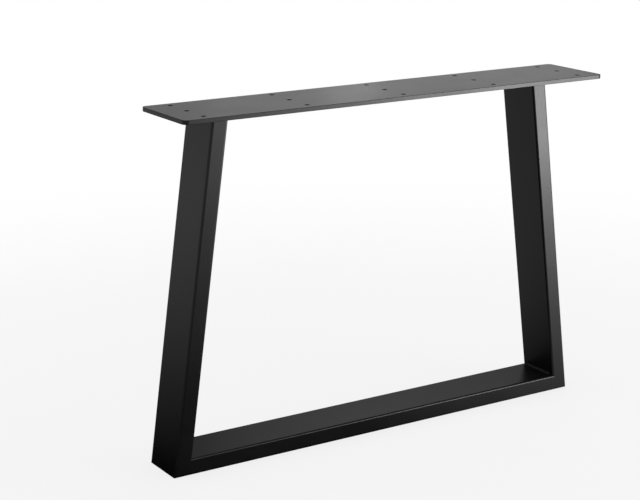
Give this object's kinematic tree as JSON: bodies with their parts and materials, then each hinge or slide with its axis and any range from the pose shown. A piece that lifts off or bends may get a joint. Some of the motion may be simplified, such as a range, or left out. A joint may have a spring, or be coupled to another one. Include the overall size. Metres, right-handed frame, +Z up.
{
  "type": "metal table leg",
  "caption": "Trapezoid table or bench leg: a welded frame of rectangular steel tube under a flat drilled plate that screws to the underside of a top.",
  "frame": {"origin": "on the floor, under the middle of the plate", "axes": "+X along the plate and the foot rail, +Y towards the edge of the plate that the tubes are flush with, +Z up to the underside of the table top"},
  "size_m": [0.58, 0.1, 0.417],
  "materials": {
    "powder_coat": "black satin powder coat with a fine texture"
  },
  "bodies": {
    "root": {"top_plate": "powder_coat", "foot_rail_tube": "powder_coat", "left_leg_tube": "powder_coat", "right_leg_tube": "powder_coat", "left_corner_weld": "powder_coat", "right_corner_weld": "powder_coat", "left_plate_weld": "powder_coat", "right_plate_weld": "powder_coat"}
  },
  "joints": []
}
